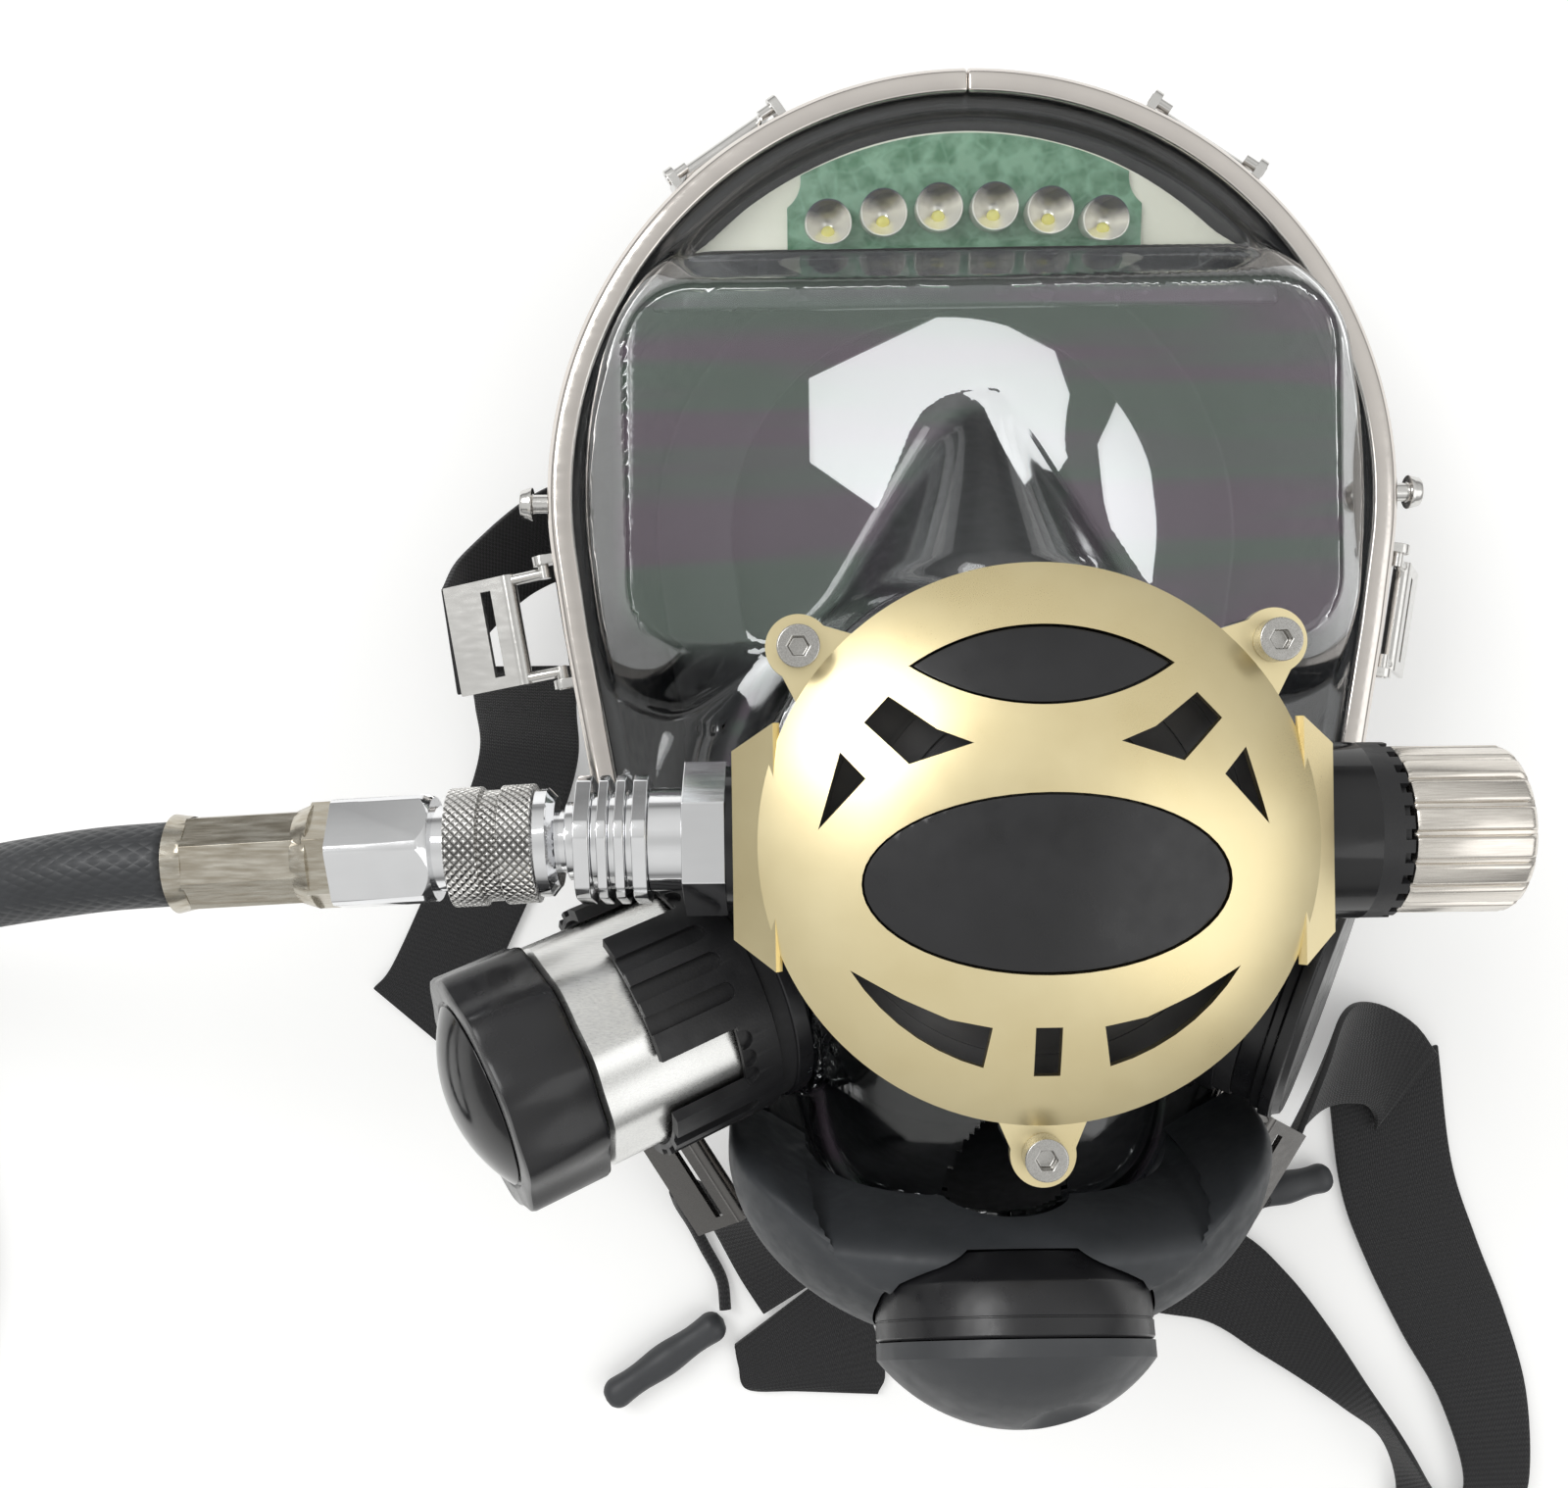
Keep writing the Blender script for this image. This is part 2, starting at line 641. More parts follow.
HOSE_ROUTE = [(-162, -4, 121.4), (-177, -6, 118.6), (-192, -8.5, 113), (-206, -11, 105.4), (-219, -13.2, 96.5),
              (-232, -15.2, 86.4), (-245, -16.8, 76), (-258, -18, 66), (-271, -19, 56.5), (-285, -19.6, 47.5),
              (-299, -20, 40), (-314, -20, 33.5)]
COIL_AT, COIL_R, COIL_DRAW, COIL_TURN, COIL_DROP, HUMP = (-330, -106), 86.0, 14.0, 335.0, 75.0, 29.0
COIL_STEPS = 23


def ramp(a, b, value):
    t = np.clip((value - a) / (b - a), 0, 1)
    return t * t * (3 - 2 * t)


def coil_point(a):
    r = COIL_R - COIL_DRAW * a / 360
    turn = math.radians(90 + a)
    return (COIL_AT[0] + r * math.cos(turn), COIL_AT[1] + r * math.sin(turn),
            HUMP + (HOSE_D / 2 - HUMP) * float(ramp(0, COIL_DROP, a)))


lean = math.radians(COUPLING_LEAN)
hose_exit = (COUPLING_X - FERRULE_END * math.cos(lean), -FERRULE_END * math.sin(lean), VALVE_Z)
hose_points = [hose_exit] + HOSE_ROUTE + [coil_point(COIL_TURN * i / COIL_STEPS) for i in range(COIL_STEPS + 1)]
hose_line = flowing(hose_points, 6)
hose = tube("supply_hose", hose_line, HOSE_D / 2, 28, 320)
close_ends(hose)
put(hose, HOSE, "hose_rubber", "hose_run", "hose_coil")
hose_end = dressed("hose_fitting", "brass", FERRULE, 0.3)

CORD_D = 3.0
CORD_LEFT = [(-68.6, -91, 21.5), (-68, -97, 12), (-65.5, -104, 5), (-62.5, -111, 2.2), (-58.5, -119, 2),
             (-57.6, -126.2, 3.4)]
CORD_RIGHT = [(67.2, -88.8, 43), (68.4, -91, 30), (69.8, -94.4, 15), (69.6, -97.3, 4.6)]
TOGGLES = {"left": ((-84.5, -146, 4.4), (-61.5, -130.5, 4.4)), "right": ((76, -99, 4.4), (92, -95, 4.4))}
TOGGLE_R = 4.1


def toggle(side):
    """A rounded grip stick, flattened a little, with two shallow waists."""
    start, end = (np.array(p, float) for p in TOGGLES[side])
    way = (end - start) / np.linalg.norm(end - start)
    flat = np.cross((0, 0, 1), way)
    long = np.linalg.norm(end - start)
    r = TOGGLE_R

    def place(u, v):
        a = TURN * u
        t = v * (long + 2 * r) - r
        over = np.maximum(np.maximum(-t, t - long), 0)
        wide = r * np.sqrt(np.clip(1 - (over / r) ** 2, 0, 1)) * (0.86 + 0.14 * np.cos(TURN * (v - 0.5)) ** 2)
        return (start + np.outer(t, way) + np.outer(wide * np.cos(a), flat)
                + np.outer(0.9 * wide * np.sin(a), (0, 0, 1)))

    piece = formed("toggle_" + side, 32, 48, place)
    edit(piece, weld(), outward)
    smooth(piece, 60)
    return piece


def pull_cord(side, points):
    line = flowing(points, 8)
    cord = tube("pull_cord_" + side, line, CORD_D / 2, 14, 60)
    close_ends(cord)
    grip = toggle(side)
    put(grip, POD_BLACK, "black_plastic", "pull_toggles")
    low, high = Vector(points[-1]) * MM, Vector(points[0]) * MM
    put(cord, WEBBING, "fabric", "pull_cords",
        across=("mask", "buckle_lower_" + side, low + (high - low) * 0.3, high))


pull_cord("left", CORD_LEFT)
pull_cord("right", CORD_RIGHT)

# ---- outline of the frame and the visor's surface ----

DIRECTIONS = np.radians(np.arange(0, 360, 2.0))
COS, SIN = np.cos(DIRECTIONS), np.sin(DIRECTIONS)
OUTLINE_CIRCLES = ((BROW_Y, BROW_R), (17, 82), (-40, 58))
REACH = np.max([y * SIN + r for y, r in OUTLINE_CIRCLES], axis=0)


def round_shape(turn, reach, inset):
    """Distance from the axis to the edge of a shape that reaches this far each way, drawn in by inset."""
    facing = np.cos(turn)[..., None] * COS + np.sin(turn)[..., None] * SIN
    ahead = facing > 0.05
    drawn = reach - np.broadcast_to(np.asarray(inset, float), turn.shape)[..., None]
    return np.where(ahead, drawn / np.where(ahead, facing, 1), 1e6).min(axis=-1)


def outline(turn, inset=0.0):
    """Distance from the regulator's axis to the frame's outline, at each turn in radians."""
    return round_shape(turn, REACH, inset)


def inward(x, y):
    """How far inside the outline a point lies."""
    return (REACH - x[..., None] * COS - y[..., None] * SIN).min(axis=-1)


def rim(y):
    """The middle height of the frame's band, which rises towards brow and chin."""
    to_brow, to_chin = (y - 50) / (BROW_Y + BROW_R - 50.5), (50 - y) / 150
    return RIM_Z + np.where(y > 50, BROW_RISE * to_brow ** 2, 5 * to_chin ** 2)


def free_top(x, y):
    """The visor's faces before its ports are set in, each a height, run together smoothly."""
    top = BROW_Y + BROW_R
    brow = rim(y) + LIP_Z + 3 * ramp(top - 61.5, top - 45.5, y) * ramp(7, 13, inward(x, y))
    qx, qy = np.abs(x) - PANE_W / 2 + PANE_CORNER, np.abs(y - PANE_Y) - PANE_H / 2 + PANE_CORNER
    edge = np.hypot(np.maximum(qx, 0), np.maximum(qy, 0)) + np.minimum(np.maximum(qx, qy), 0) - PANE_CORNER
    pane = PANE_Z - 1.45 * np.maximum(0, edge)
    bowl = 60 + 50 / (1 + (np.maximum(0, np.hypot(x, y) - 45.5) / 8.5) ** 2)
    down = NOSE_Y - y
    half = 0.6 * down + 5 * (1 - np.exp(np.minimum(-down, 0) / 4))
    ridge = PANE_Z + 25 * np.minimum(1, down / NOSE_RUN) * (1 - (x / np.maximum(half, 0.01)) ** 2)
    nose = np.where((down > 0.01) & (y >= 20), ridge, 0)
    q = 1 - (np.abs(x) / 39) ** 3 - ((y + 36) / 47) ** 4
    chin = np.where(q > 0, 62 + 46 * np.sqrt(np.maximum(q, 0)), 0)
    soften = 1.8
    return soften * np.log(sum(np.exp(np.maximum(h, 20) / soften) for h in (brow, pane, bowl, nose, chin)))


def visor_z(x, y):
    """The visor's height, with flat seats for its two ports and for the regulator."""
    z = free_top(x, y)
    side = np.where(x < 0, -1, 1)
    lift, turn = math.radians(PORT_LIFT), math.radians(PORT_TURN)
    nx, ny, nz = side * math.cos(turn) * math.cos(lift), -math.sin(turn) * math.cos(lift), math.sin(lift)
    port_x, port_y, port_z = PORT_AT
    from_x, from_y = x - port_x * side, y - port_y
    plane = port_z - (nx * from_x + ny * from_y) / nz
    off = np.sqrt(from_x ** 2 + from_y ** 2 + (plane - port_z) ** 2)
    z = plane + (z - plane) * ramp(25.5, 30.5, off)
    z = SEAT_Z + (z - SEAT_Z) * ramp(45.3, 47.8, np.hypot(x, y))
    turn = np.arctan2(y, x)
    base = rim(outline(turn) * np.sin(turn)) + LIP_Z
    return base + (z - base) * ramp(TOE, TOE + 3, inward(x, y))


def visor():
    def place(u, v):
        turn = TURN * u
        far = outline(turn, BEAD_EDGE)
        r = MOUTH_R + (far - MOUTH_R) * v
        x, y = r * np.cos(turn), r * np.sin(turn)
        return np.stack([x, y, visor_z(x, y)], axis=1)

    piece = formed("visor_clear", 400, 84, place)
    edit(piece, weld())
    for placing, bore_r in ((ON_PORT[-1], 19.5), (ON_PORT[1], 19.5), (ON_POD, 11.5)):
        cut_hole(piece, placing, bore_r)
    edit(piece, outward)
    if piece.data.polygons[0].normal.z < 0:
        edit(piece, flip)
    modified(piece, "SOLIDIFY", thickness=VISOR_T * MM, offset=-1.0, use_even_offset=True, thickness_clamp=1.0)
    smooth(piece, 60)
    put(piece, CLEAR, "clear", "visor")


def cut_hole(piece, placing, radius):
    """Takes out the faces within radius of the placing's axis."""
    back = placing.inverted()
    edit(piece, lambda: unpick("FACE"))
    for face in piece.data.polygons:
        spot = back @ face.center
        face.select = math.hypot(spot.x, spot.y) < radius * MM and spot.z > -40 * MM
    mode("EDIT")
    bpy.ops.mesh.delete(type="FACE")
    mode("OBJECT")


visor()

# ---- frame, skirt and inner mask ----


def swept_profile(name, profile, around, start=0.0, end=TURN):
    """A closed profile of (inset, height, share) carried round the outline, raised by share of the rim's height."""
    closed = np.vstack([profile, profile[:1]])

    def place(u, v):
        turn = start + (end - start) * u
        step = v * (len(closed) - 1)
        i = np.minimum(np.rint(step).astype(int), len(closed) - 1)
        r = outline(turn, closed[i, 0])
        lift = closed[i, 2] * rim(outline(turn) * np.sin(turn))
        return np.stack([r * np.cos(turn), r * np.sin(turn), closed[i, 1] + lift], axis=1)

    return formed(name, around, len(closed) - 1, place)


def frame_half(side):
    """Half of the channel-shaped band, which stops a hair short of the other half at brow and chin."""
    lip = BAND_TOP - LIP_T
    corners = [(0, -BAND_TOP), (0, BAND_TOP - 1.5), (1.5, BAND_TOP), (BAND_W, BAND_TOP), (BAND_W, lip),
               (BAND_WALL, lip), (BAND_WALL, -lip), (BAND_W, -lip), (BAND_W, -BAND_TOP)]
    profile = np.array([(inset, height, 1) for inset, height in corners], float)
    half = math.radians(89.98)
    middle = 0 if side > 0 else math.pi
    name = "frame_" + ("right" if side > 0 else "left")
    piece = swept_profile(name + "_band", profile, 200, middle - half, middle + half)
    edit(piece, weld())
    close_ends(piece)
    edit(piece, outward)
    round_edges(piece, 0.6, 3, 30)
    smooth(piece, 35)
    put(piece, BAND_METAL, "warm_grey", name)


for side in (-1, 1):
    frame_half(side)


def skirt():
    """A wall that hangs from the frame and turns in under the face, with its soft lip."""
    foot, top, seat = 3.0, LIP_Z - VISOR_T - 0.3, LIP_T - BAND_TOP + 0.3
    corners = [(BEAD_EDGE, top, 1), (BAND_W + 2.8, top, 1), (BAND_W + 2.8, -4, 1), (BAND_W + 4, -9, 1),
               (13, 30, 0), (19, 9, 0), (38, 14, 0), (38.4, 12.4, 0), (21, foot, 0), (16.5, 4.6, 0),
               (10.6, 30, 0), (BAND_W + 1.4, -9, 1), (BAND_W + 0.4, seat, 1), (BEAD_EDGE, seat, 1)]
    piece = swept_profile("skirt_rubber", np.array(corners, float), 240)
    edit(piece, weld(), outward)
    round_edges(piece, 0.8, 3, 20)
    smooth(piece, 45)
    put(piece, BLACK_RUBBER, "black_rubber", "skirt")


skirt()

INNER_CIRCLES = [(86, 11), (0, 39), (-32, 27)]
INNER_FRONT, INNER_BACK, INNER_T, INNER_NECK = SEAT_Z - 4.3, 34.0, 2.0, 37.0


def inner_mask():
    """A cup that starts as a round neck and widens to the shape of nose and chin."""
    def place(u, v):
        turn = TURN * u
        outer = v <= 0.5
        t = np.where(outer, 2 * v, 2 - 2 * v)
        wide = (t ** 0.8)[:, None]
        reach = np.max([wide * y * SIN + INNER_NECK + (r - INNER_NECK) * wide for y, r in INNER_CIRCLES], axis=0)
        r = round_shape(turn, reach, np.where(outer, 0.0, INNER_T))
        return np.stack([r * np.cos(turn), r * np.sin(turn), INNER_FRONT + (INNER_BACK - INNER_FRONT) * t], axis=1)

    piece = formed("inner_mask_rubber", 160, 48, place)
    edit(piece, weld())
    close_ends(piece)
    edit(piece, outward)
    smooth(piece, 50)
    put(piece, BLACK_RUBBER, "black_rubber", "oronasal_mask")


inner_mask()

# ---- harness ----


def strap(name, node, rows, thick=1.5, across=None):
    """Flat webbing between its two edges. Each row is a point of one edge and the point facing it."""
    rows = np.array(rows, float)
    left, right = flowing(rows[:, :3], 10), flowing(rows[:, 3:], 10)
    reach = lengths((left + right) / 2)
    wide, long = float(np.mean(np.linalg.norm(left - right, axis=1))), float(reach[-1])

    def place(u, v):
        a, b = (read_off(edge, reach / long, v) for edge in (left, right))
        return a + (b - a) * u[:, None]

    piece = formed(name, 10, max(24, int(long / 2)), place, (wide, long))
    up = sum(f.normal.z * f.area for f in piece.data.polygons)
    if up < 0:
        edit(piece, flip)
    modified(piece, "SOLIDIFY", thickness=thick * MM, offset=-1.0)
    round_edges(piece, 0.35, 2, 40)
    smooth(piece, 45)
    put(piece, WEBBING, "fabric", node, across=across)


def high_low(side, name, low_point, high_point):
    """The blend of a strap from where it lies still up to where its buckle carries it."""
    return ("mask", f"buckle_{name}_{side}", Vector(low_point) * MM, Vector(high_point) * MM)


strap("temple_strap_left", "temple_straps",
      [(-66.5, 60, 2.2, -66.5, 85, 2.2), (-82, 62, 5, -80, 87, 5), (-100, 54, 22, -98, 78, 24),
       (-112, 38, 40, -112, 62, 41), (-111.5, 28.5, 53, -115, 52, 53)],
      across=high_low("left", "temple", (-105, 60, 30), (-113, 42, 52)))
strap("temple_tail_left", "temple_straps",
      [(-88, 34, 44, -112, 34, 44), (-90, 24, 28, -114, 26, 28), (-92, 12, 13, -116, 16, 13),
       (-99, -6, 4, -122, 2, 4), (-108, -26, 2.4, -131, -17, 2.4), (-118, -47, 2.2, -141, -38, 2.2),
       (-125, -62, 2.2, -146, -44, 2.2)],
      across=high_low("left", "temple", (-103, 15, 14), (-100, 34, 44)))
strap("lower_tail_right", "temple_straps",
      [(73.7, -72.4, 50, 61.2, -92.4, 50), (84, -60, 38, 72, -82, 38), (95, -50, 21, 88, -74, 21),
       (106, -50, 10, 102, -75, 10), (117, -56, 5.6, 107, -79, 5.6), (123, -64, 4.8, 107, -83, 4.8)],
      across=high_low("right", "lower", (95, -62, 18), (67, -82, 50)))
strap("long_tail_right", "temple_straps",
      [(124, -62, 2.6, 96, -71, 2.6), (127, -91, 2.4, 99, -98, 2.4), (133, -111, 2.4, 105, -116, 2.4),
       (140, -130, 2.4, 114, -135, 2.4), (144.5, -149.5, 4, 123, -152, 4),
       (143, -170, 8, 128, -172, 5), (140, -182, 5, 123, -184, 3)])
strap("chin_strap", "lower_straps",
      [(36, 39.7, 2.2, 12, 39.7, 2.2), (34, -20, 2.2, 10, -20, 2.2), (34, -70, 2.2, 11, -84, 2.2),
       (40, -95, 2.3, 22, -112, 2.3), (52, -101, 2.4, 46, -127, 2.6), (72.9, -108.7, 3, 64.4, -131.2, 3),
       (85, -119.5, 3.4, 77, -139, 3.4), (95, -133, 5, 88, -146, 4), (103, -147, 9, 98, -153, 5),
       (109, -158, 13, 107, -160.5, 5), (117, -170, 9, 111, -174, 4), (124, -179, 4, 108, -186, 2.4)])
strap("lower_strap_left", "lower_straps",
      [(-73.8, -72.6, 50, -61.1, -92.8, 50), (-71, -80, 35, -58, -95, 34), (-66, -90, 22, -52, -93, 22),
       (-60, -104, 11, -43, -101, 13), (-54, -118, 4, -37, -110, 6), (-48, -128, 2.6, -30, -117, 2.8)],
      across=high_low("left", "lower", (-55, -98, 15), (-67, -83, 50)))
strap("strap_tab", "lower_straps",
      [(-55.5, -136, 2.3, -31, -118, 2.3), (-54.6, -141, 2.3, -24, -121, 2.3),
       (-52.4, -147, 2.3, -17.5, -141.6, 2.3), (-40, -147.6, 2.3, -19.3, -148.6, 2.3)], 1.8)


def head_pad():
    piece = dressed("head_pad", "black_rubber", PAD_RUBBER, 0.9, 4, 40, 50)


head_pad()

# ---- regulator, inlet, side valve and exhaust ----

for slot, finish, bevel, nodes in (
        ("nickel", CHROME, 0.2, "inlet_adapter finned_nut qd_nipple qd_body"),
        ("nickel", KNURL, 0.2, "qd_sleeve"),
        ("steel", STEEL, 0.3, "frame_joiners"),
        ("warm_grey", STEEL, 0.3, "side_posts"),
        ("steel", STEEL, 0.3, "buckle_lugs buckle_top_left buckle_top_right buckle_temple_left buckle_temple_right"),
        ("steel", DARK_STEEL, 0.3, "buckle_lower_left buckle_lower_right"),
        ("black_plastic", GLOSS_BLACK, 0.4, "regulator_housing"),
        ("steel", SCREW_STEEL, 0.3, "cover_screws"),
        ("black_plastic", SATIN_BLACK, 0.5, "purge_button"),
        ("black_plastic", SATIN_BLACK, 0.4, "eye_pad air_valve_port port_cover"),
        ("black_plastic", GRAINED_BLACK, 0.2, "click_ring"),
        ("brass", FERRULE, 0.3, "hose_ferrule"),
        ("black_plastic", GRAINED_BLACK, 0.3, "air_valve_crown"),
        ("glossy_black", POD_BLACK, 0.6, "pod_cap")):
    for node in nodes.split():
        dressed(node, slot, finish, bevel)
dressed("air_valve_cap", "glossy_black", GLOSS_BLACK, 0.4, 3)

COVER_SPHERE, COVER_CENTRE = 91.504, 68.496


def cover_plate():
    """The plate's dome is shaded as a true sphere, so the satin finish runs over it evenly."""
    piece = dressed("cover_plate", "gold", GOLD, 0.25)
    mesh = piece.data
    middle = Vector((0, 0, COVER_CENTRE)) * MM
    out = [corner.vector.copy() for corner in mesh.corner_normals]
    for face in mesh.polygons:
        arms = [mesh.vertices[i].co - middle for i in face.vertices]
        if all(abs(arm.length / MM - COVER_SPHERE) < 0.1 for arm in arms):
            for corner, arm in zip(face.loop_indices, arms):
                out[corner] = arm.normalized()
    mesh.normals_split_custom_set(out)


cover_plate()

KNOB_X, KNOB_R, KNOB_LEN, KNOB_BARS = 65.4, 14.7, 20.9, 18


def adjustment_knob():
    """Wide flats with a narrow groove between each two."""
    def groove(turn):
        off = np.abs((turn * KNOB_BARS / TURN + 0.5) % 1 - 0.5)
        return 1 - ramp(0.05, 0.16, off)

    r, end = KNOB_R, KNOB_LEN
    profile = [(0, 0, 0), (r - 1.2, 0, 0.2), (r - 0.3, 0.3, 0.8), (r, 1.0, 0.9), (r, end - 1.6, 0.9),
               (r - 0.5, end - 0.6, 0.8), (r - 1.3, end, 0.2), (r - 3.4, end, 0), (r - 3.8, end - 0.5, 0),
               (0, end - 0.5, 0)]
    placing = at((KNOB_X, 0, VALVE_Z), (90, "Y"))
    piece = fluted("adjustment_knob_finished", profile, groove, placing, KNOB_BARS * 16)
    put(piece, NICKEL, "alloy", "adjustment_knob", body="knob")


adjustment_knob()

AIR_LOBES, AIR_KNOB_S = 10, 41.6


def waves(turn):
    return 0.5 - 0.5 * np.cos(AIR_LOBES * turn)


def air_valve_knob():
    r, end = 23.4, 16.0
    profile = [(4, 0, 0), (r - 1.2, 0, 1), (r - 0.3, 0.3, 1.1), (r, 1.0, 1.1), (r, end - 1.0, 1.1),
               (r - 0.3, end - 0.3, 1.1), (r - 1.1, end, 1), (18.4, end, 0), (17.9, end - 0.5, 0), (4, end - 0.5, 0)]
    piece = fluted("air_valve_knob_finished", profile, waves, ON_PORT[-1] @ shifted(AIR_KNOB_S))
    put(piece, KNOB_BLACK, "glossy_black", "air_valve_knob", body="air_knob")


def air_valve_body():
    foot, end = 7.8, AIR_KNOB_S - 0.4
    profile = [(16.6, foot, 0), (22.2, foot, 0), (22.4, foot + 0.2, 0), (22.4, foot + 2.9, 0),
               (22.2, foot + 3.1, 0.9), (22.2, end - 0.8, 0.9), (21.4, end, 0.9), (16.6, end, 0)]
    piece = fluted("air_valve_body_finished", profile, waves, ON_PORT[-1])
    put(piece, ALLOY, "alloy", "air_valve_body")


air_valve_knob()
air_valve_body()

# ---- exhaust ----

POD_R, COLLAR_LEN, COLLAR_BACK, SHOULDER = 25.4, 14.6, 20.5, 5.0
TEE_HALF, TEE_MID_Y = (52.8, 38.5), -62.0


def tee_points(x, row):
    """The tee's outer surface and its underside at x, and at share row from its upper to its lower edge."""
    upper = -68 + 0.6 * np.maximum(0, np.abs(x) - 33)
    lower = TEE_MID_Y - TEE_HALF[1] * np.sqrt(1 - (x / TEE_HALF[0]) ** 2)
    y = upper + (lower - upper) * row
    step, wall = 0.5, 2.0
    slope_x = visor_z(x - step, y) - visor_z(x + step, y)
    slope_y = visor_z(x, y - step) - visor_z(x, y + step)
    off = np.stack([slope_x, slope_y, np.full_like(x, 2 * step)], axis=1)
    low = np.stack([x, y, visor_z(x, y)], axis=1) + wall * off / np.linalg.norm(off, axis=1)[:, None]
    over_frame = np.maximum(low[:, 2], rim(low[:, 1]) + BAND_TOP + 0.8)
    low[:, 2] = np.where(inward(low[:, 0], low[:, 1]) < BAND_W + 3, over_frame, low[:, 2])
    fall = np.clip((y - upper + 6.5) / 6.5, 0, 1)
    dome = 92 + 36 * np.sqrt(np.maximum(0, 1 - (x / TEE_HALF[0]) ** 2 - ((y - TEE_MID_Y) / TEE_HALF[1]) ** 2))
    edge = low[:, 2] + 2.2
    top = low.copy()
    top[:, 2] = edge + (np.maximum(edge, dome) - edge) * np.sqrt(1 - fall ** 2)
    return top, low


def exhaust_tee():
    rows = 36
    steps = 2 * rows + 2

    def place(u, v):
        x = TEE_HALF[0] * np.sin(np.radians(-85 + 170 * u))
        i = np.rint(v * steps).astype(int) % steps
        outer = i <= rows
        share = (np.where(outer, i, 2 * rows + 1 - i) / rows) ** 1.7
        top, low = tee_points(x, share)
        return np.where(outer[:, None], top, low)

    piece = formed("exhaust_tee_rubber", 120, steps, place)
    edit(piece, weld(0.001))
    close_ends(piece)
    edit(piece, outward)
    socket = [(0, -30), (12, -30), (12, 0.0), (COLLAR_BACK + 0.5, 0.0), (POD_R + 0.5, SHOULDER + 0.4),
              (POD_R + 0.5, 40), (0, 40)]
    cut_away(piece, spun("pod_socket", socket, ON_POD @ shifted(-COLLAR_LEN - 0.4), 96))
    smooth(piece, 35)
    put(piece, TEE_RUBBER, "black_rubber", "exhaust_tee")


def pod_collar():
    inner, r, end = POD_R - 2.4, POD_R, COLLAR_LEN - 0.2
    profile = [(12, 0), (COLLAR_BACK - 0.3, 0), (COLLAR_BACK + 0.2, 0.3), (r - 0.4, SHOULDER - 0.2),
               (r, SHOULDER + 0.4), (r, end - 3.6), (r - 0.2, end - 3.5), (r - 0.2, end - 3.3), (r, end - 3.2),
               (r, end - 0.5), (r - 0.4, end), (inner, end), (inner, SHOULDER + 1), (COLLAR_BACK - 1, 3), (12, 3)]
    piece = spun("pod_collar_finished", profile, ON_POD @ shifted(-COLLAR_LEN), 120)
    put(piece, SATIN_BLACK, "black_plastic", "pod_collar")


exhaust_tee()
pod_collar()

# ---- light ----

TRAY_T, BOARD_T, BOARD_HALF, NOTCH_R = 1.8, 1.6, 38.5, 7.0
LAMPS, LAMP_DEEP = 6, 3.44
BAR_AT, BAR_SIZE = (0, 116.0, 57.5), (136, 9.5, 3.0)


def brow_plate(name, radius, thick, lift, half=None):
    """A segment of a disc that follows the brow, cut straight below, and at half to each side if it is given."""
    piece = started(name, bpy.ops.mesh.primitive_cylinder_add, vertices=180, radius=radius * MM, depth=thick * MM,
                    location=Vector((0, BROW_Y - LIGHT_Y, lift + thick / 2)) * MM)
    bpy.ops.object.transform_apply(location=True, rotation=False, scale=False)
    cuts = [((0, 0, 0), (0, 1, 0))]
    if half:
        cuts += [((half * MM, 0, 0), (-1, 0, 0)), ((-half * MM, 0, 0), (1, 0, 0))]
    for spot, way in cuts:
        edit(piece, lambda: bpy.ops.mesh.bisect(plane_co=spot, plane_no=way, clear_inner=True, use_fill=True))
    return piece


def set_in_light(piece, edge, finish, slot, node):
    round_edges(piece, edge)
    smooth(piece)
    stand(piece, ON_LIGHT)
    put(piece, finish, slot, node)


def tray_and_board():
    set_in_light(brow_plate("light_tray_finished", BROW_R - 10, TRAY_T, 0), 0.3, CREAM, "cream", "light_tray")
    board = brow_plate("light_board_finished", BROW_R - 10.6, BOARD_T, TRAY_T + 0.02, BOARD_HALF)
    for side in (-1, 1):
        notch = started("notch", bpy.ops.mesh.primitive_cylinder_add, vertices=64, radius=NOTCH_R * MM,
                        depth=8 * MM, location=Vector((side * (BOARD_HALF + 4), 17, 2)) * MM)
        cut_away(board, notch)
    set_in_light(board, 0.2, BOARD, "green_board", "light_board")


def lamps():
    """A row of bowls that follows the brow, each with its yellow chip below the middle."""
    bowl = [(0, 0.7)] + [(0.45 * k, 0.7 + 4.6 * (k / 10) ** 2) for k in range(1, 11)]
    bowl += [(4.7, 5.7), (4.95, 5.7), (5.08, 5.3), (5.08, 0), (0, 0)]
    for k in range(LAMPS):
        i = k - (LAMPS - 1) / 2
        spot = Vector((i * LAMP_PITCH, 10.5 - 0.5 * i * i, LAMP_DEEP)) * MM
        lamp = spun(f"lamp_reflector_{k + 1}", bowl, ON_LIGHT @ Matrix.Translation(spot), 48, 50)
        put(lamp, REFLECTOR, "reflector", "light_optics")
        chip = started(f"lamp_chip_{k + 1}", bpy.ops.mesh.primitive_uv_sphere_add, segments=24, ring_count=12,
                       radius=1.45 * MM)
        edit(chip, lambda: bpy.ops.transform.resize(value=(1, 1, 0.5)))
        smooth(chip, 60)
        stand(chip, ON_LIGHT @ Matrix.Translation(spot + Vector((0, -1.7, 1.9)) * MM))
        put(chip, LED_YELLOW, "reflector")


tray_and_board()
lamps()


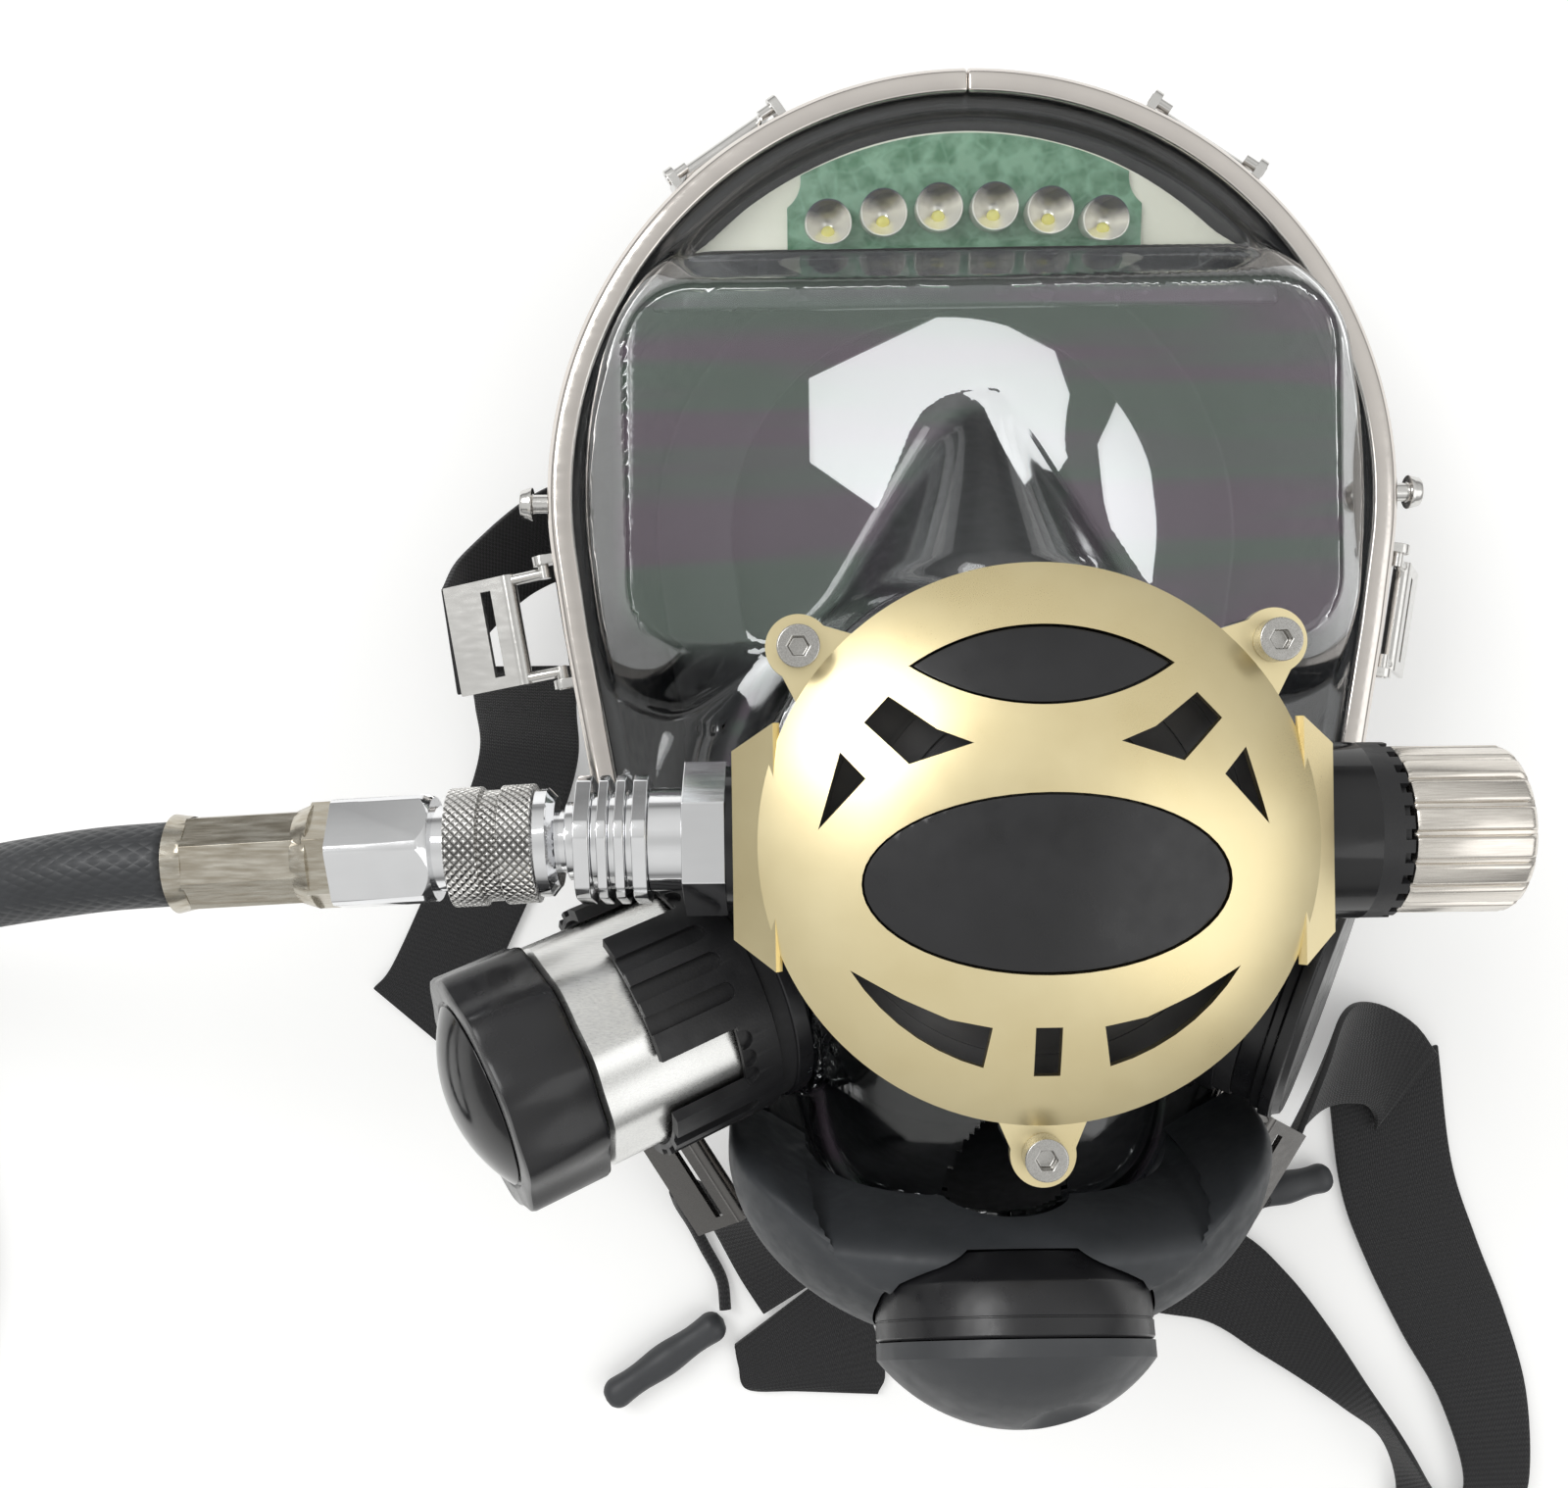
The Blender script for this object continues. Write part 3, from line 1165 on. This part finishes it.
def light_bar():
    """The dark bar that carries the light's cover, just above the window."""
    bar = started("light_bar", bpy.ops.mesh.primitive_cube_add, size=1, location=Vector(BAR_AT) * MM)
    bar.scale = Vector(BAR_SIZE) * MM
    bpy.ops.object.transform_apply()
    round_edges(bar, 0.8, 3)
    smooth(bar)
    put(bar, BAR_BLACK, "black_plastic")


light_bar()

# ---- pieces inside ----

INNER_FINISHES = {"seal_rings": BLACK_RUBBER, "inhale_valves": GREY_RUBBER, "diaphragm": GREY_RUBBER,
                  "diaphragm_plate": STEEL, "demand_lever": STEEL, "valve_tube": BRASS, "poppet": STEEL,
                  "spring_pad": BRASS, "air_valve_poppet": ALLOY, "exhaust_membrane": GREY_RUBBER}


def spring(node, moving, moving_end):
    """A coil whose moving end follows its body, while its other end stays with the mask."""
    source = frame["nodes"][node]
    piece = bpy.data.objects.new(node + "_coil", source.data.copy())
    bpy.context.scene.collection.objects.link(piece)
    edit(piece, weld())
    smooth(piece)
    low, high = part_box(node)
    ends = (low, high) if moving_end == "low" else (high, low)
    put(piece, STEEL, "steel", node, across=(moving, "mask", *ends))


spring("poppet_spring", "poppet", "low")
spring("qd_spring", "sleeve", "high")
for node, finish in INNER_FINISHES.items():
    carried = frame["nodes"][node]
    for place in carried.material_slots:
        place.material = finish

# ---- floor and light ----


FLOOR_GLOW, FLOOR_THROUGH_PLASTIC = 0.24, 0.42
SKY_STRENGTH = 0.8
SKY_LEVELS = ((0.0, 0.45), (0.12, 0.30), (0.3, 0.72), (0.62, 0.95), (0.9, 1.0), (0.97, 0.9), (1.0, 0.75))
LAMPS_ROUND = (("key", (-0.75, 0.55, 1.15), 0.7, 7.0), ("fill", (0.9, -0.3, 1.0), 1.0, 2.5))


def floor_finish():
    """A white table top. It shows as white to the camera and in reflections, and still takes shadow."""
    f = Finish("white table top", (0.88, 0.88, 0.875), 0.6)
    f.colour(f.noise(60, 3.0), (0.87, 0.87, 0.865), (0.89, 0.89, 0.885))
    paths = f.add("LightPath")
    seen = f.maths("MAXIMUM", paths.outputs["Is Camera Ray"], paths.outputs["Is Glossy Ray"])
    strength = f.maths("ADD", f.maths("MULTIPLY", seen, FLOOR_GLOW),
                       f.maths("MULTIPLY", paths.outputs["Is Transmission Ray"], FLOOR_THROUGH_PLASTIC))
    glow = f.add("Emission", {"Color": (1, 1, 0.995, 1), "Strength": strength})
    return f.shown_as(f.add("AddShader", {0: f.shader.outputs[0], 1: glow.outputs[0]}))


def make_stage():
    floor = started("table_top", bpy.ops.mesh.primitive_plane_add, size=4.0)
    floor.data.materials.append(floor_finish())
    world = bpy.data.worlds.new("soft room")
    bpy.context.scene.world = world
    world.use_nodes = True
    tree = world.node_tree
    sky = tree.nodes["Background"]
    way, height, shades = (tree.nodes.new("ShaderNode" + kind) for kind in ("TexCoord", "SeparateXYZ", "ValToRGB"))
    tree.links.new(way.outputs["Generated"], height.inputs[0])
    tree.links.new(height.outputs[2], shades.inputs[0])
    tree.links.new(shades.outputs[0], sky.inputs[0])
    stops = shades.color_ramp.elements
    for i, (place, level) in enumerate(SKY_LEVELS):
        stop = stops[i] if i < 2 else stops.new(place)
        stop.position = place
        stop.color = (level, level, 0.985 * level, 1)
    sky.inputs[1].default_value = SKY_STRENGTH
    for name, spot, size, watts in LAMPS_ROUND:
        lamp = bpy.data.lights.new(name, "AREA")
        lamp.size = size
        lamp.energy = watts
        holder = bpy.data.objects.new(name, lamp)
        holder.location = spot
        holder.rotation_euler = (-Vector(spot)).to_track_quat("-Z", "Y").to_euler()
        bpy.context.scene.collection.objects.link(holder)


make_stage()
bpy.context.scene.view_settings.view_transform = "Standard"
